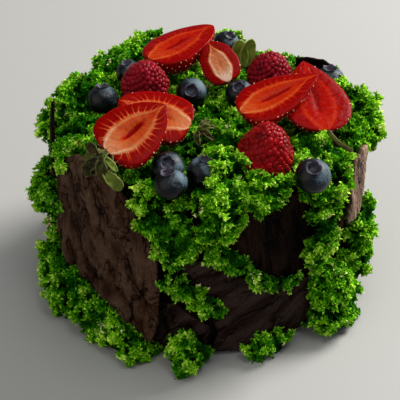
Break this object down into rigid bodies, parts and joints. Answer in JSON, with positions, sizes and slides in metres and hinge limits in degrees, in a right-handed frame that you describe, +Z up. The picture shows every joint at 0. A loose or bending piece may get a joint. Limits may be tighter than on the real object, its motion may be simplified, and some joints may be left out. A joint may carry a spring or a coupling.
{
  "type": "bento cake",
  "caption": "Small round cake wrapped in wrinkled dark chocolate sheets and torn green sponge moss, topped with halved strawberries, raspberries and blueberries.",
  "frame": {"origin": "centre of the round cake's foot, on the surface it rests on", "axes": "+Z up, the shown front towards -Y, +X to the viewer's right"},
  "size_m": [0.1419, 0.1376, 0.102],
  "materials": {
    "cake": "dark sponge, matte",
    "chocolate": "dark chocolate, semi-matte, crumpled",
    "moss": "green sponge crumbs, matte",
    "strawberry": "moist fruit, glossy",
    "raspberry": "soft fruit with fine drupelets",
    "blueberry": "dark skin with a pale bloom",
    "leaf": "dull dried leaf"
  },
  "bodies": {
    "root": {"blueberry_1": "blueberry", "blueberry_10": "blueberry", "blueberry_2": "blueberry", "blueberry_3": "blueberry", "blueberry_4": "blueberry", "blueberry_5": "blueberry", "blueberry_6": "blueberry", "blueberry_7": "blueberry", "blueberry_8": "blueberry", "blueberry_9": "blueberry", "cake_core": "cake", "calyx_back": "leaf", "calyx_left": "leaf", "calyx_middle": "leaf", "moss_back_drape": "moss", "moss_back_foot_left": "moss", "moss_back_foot_right": "moss", "moss_back_left_rim": "moss", "moss_back_right_rim": "moss", "moss_back_rim": "moss", "moss_back_tongue": "moss", "moss_bed": "moss", "moss_foot_front": "moss", "moss_foot_right": "moss", "moss_front_drape": "moss", "moss_front_lump": "moss", "moss_front_rim_right": "moss", "moss_left_band": "moss", "moss_left_flap": "moss", "moss_left_outer": "moss", "moss_left_rim": "moss", "moss_right_curtain": "moss", "moss_right_low": "moss", "moss_right_mid": "moss", "moss_right_rim": "moss", "moss_right_top": "moss", "moss_sash": "moss", "moss_tongue": "moss", "moss_top_middle": "moss", "raspberry_1": "raspberry", "raspberry_2": "raspberry", "raspberry_3": "raspberry", "shard_back_right": "chocolate", "shard_left": "chocolate", "sheet_back": "chocolate", "sheet_back_left": "chocolate", "sheet_back_right": "chocolate", "sheet_corner": "chocolate", "sheet_front_high": "chocolate", "sheet_front_low": "chocolate", "sheet_left_front": "chocolate", "sheet_right_bark": "chocolate", "sheet_right_low": "chocolate", "stalk_right": "leaf", "strawberry_1": "strawberry", "strawberry_2": "strawberry", "strawberry_3": "strawberry", "strawberry_4": "strawberry", "strawberry_5": "strawberry", "strawberry_6": "strawberry"}
  },
  "joints": []
}
